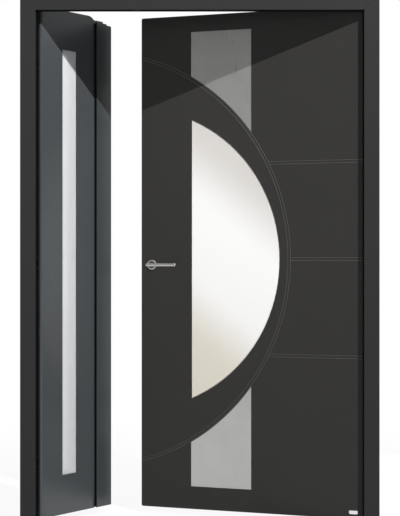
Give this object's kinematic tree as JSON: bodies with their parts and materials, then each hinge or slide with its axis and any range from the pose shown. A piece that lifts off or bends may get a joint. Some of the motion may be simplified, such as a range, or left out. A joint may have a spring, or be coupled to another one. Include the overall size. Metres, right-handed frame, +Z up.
{
  "type": "front door",
  "caption": "Inward-opening front door with a wide leaf, a narrow glazed side leaf, a D-shaped satin pane, an arc groove, steel inlays and a lever handle, in a rebated frame.",
  "frame": {"origin": "centre of the threshold's underside, on the floor", "axes": "+Z up, +X to the right seen from outdoors, +Y indoors, the way the leaves open"},
  "size_m": [1.45, 0.4463, 2.152],
  "materials": {
    "frame_paint": "satin",
    "leaf_paint": "satin",
    "mill_aluminium": "satin",
    "black_rubber": "matte",
    "satin_glass": "frosted",
    "satin_steel": "brushed",
    "hinge_steel": "satin"
  },
  "bodies": {
    "frame": {"left_jamb": "frame_paint", "right_jamb": "frame_paint", "head": "frame_paint", "threshold": "mill_aluminium", "frame_gasket": "black_rubber", "main_frame_knuckles": "hinge_steel", "main_hinge_pins": "hinge_steel", "side_frame_knuckles": "hinge_steel", "side_hinge_pins": "hinge_steel"},
    "main_leaf": {"main_outer_panel": "leaf_paint", "main_hinge_stile": "leaf_paint", "main_lock_stile": "leaf_paint", "main_top_rail": "leaf_paint", "main_bottom_rail": "leaf_paint", "main_infill": "leaf_paint", "main_outer_pane": "satin_glass", "main_pane_spacer": "mill_aluminium", "main_inner_pane": "satin_glass", "main_glazing_bead": "leaf_paint", "upper_inlay": "satin_steel", "lower_inlay": "satin_steel", "outer_rosette": "satin_steel", "inner_rosette": "satin_steel", "lock_faceplate": "satin_steel", "lock_bolts": "hinge_steel", "main_leaf_knuckles": "hinge_steel", "main_bottom_seal": "black_rubber"},
    "lever": {"outer_lever": "satin_steel", "inner_lever": "satin_steel", "spindle": "hinge_steel"},
    "side_leaf": {"side_outer_panel": "leaf_paint", "side_hinge_stile": "leaf_paint", "side_meeting_stile": "leaf_paint", "side_top_rail": "leaf_paint", "side_bottom_rail": "leaf_paint", "side_infill": "leaf_paint", "side_outer_pane": "satin_glass", "side_pane_spacer": "mill_aluminium", "side_inner_pane": "satin_glass", "side_glazing_bead": "leaf_paint", "strip_carrier": "leaf_paint", "cover_strip": "leaf_paint", "strip_gasket": "black_rubber", "strike_plate": "satin_steel", "flush_bolt_plates": "satin_steel", "side_leaf_knuckles": "hinge_steel", "side_bottom_seal": "black_rubber"}
  },
  "joints": [
    {"name": "main_leaf_hinge", "type": "hinge", "parent": "frame", "child": "main_leaf", "pos_m": [0.688, 0.0405, 1], "axis": [0, 0, -1], "range_deg": [-19.33, 70.67]},
    {"name": "side_leaf_hinge", "type": "hinge", "parent": "frame", "child": "side_leaf", "pos_m": [-0.688, 0.0405, 1], "axis": [0, 0, 1], "range_deg": [-52.8, 37.2]},
    {"name": "lever_turn", "type": "hinge", "parent": "main_leaf", "child": "lever", "pos_m": [-0.2033, 0.29381, 1.06], "axis": [0.331, 0.9436, 0], "range_deg": [0, 40], "stiffness_Nm_per_rad": 1}
  ]
}
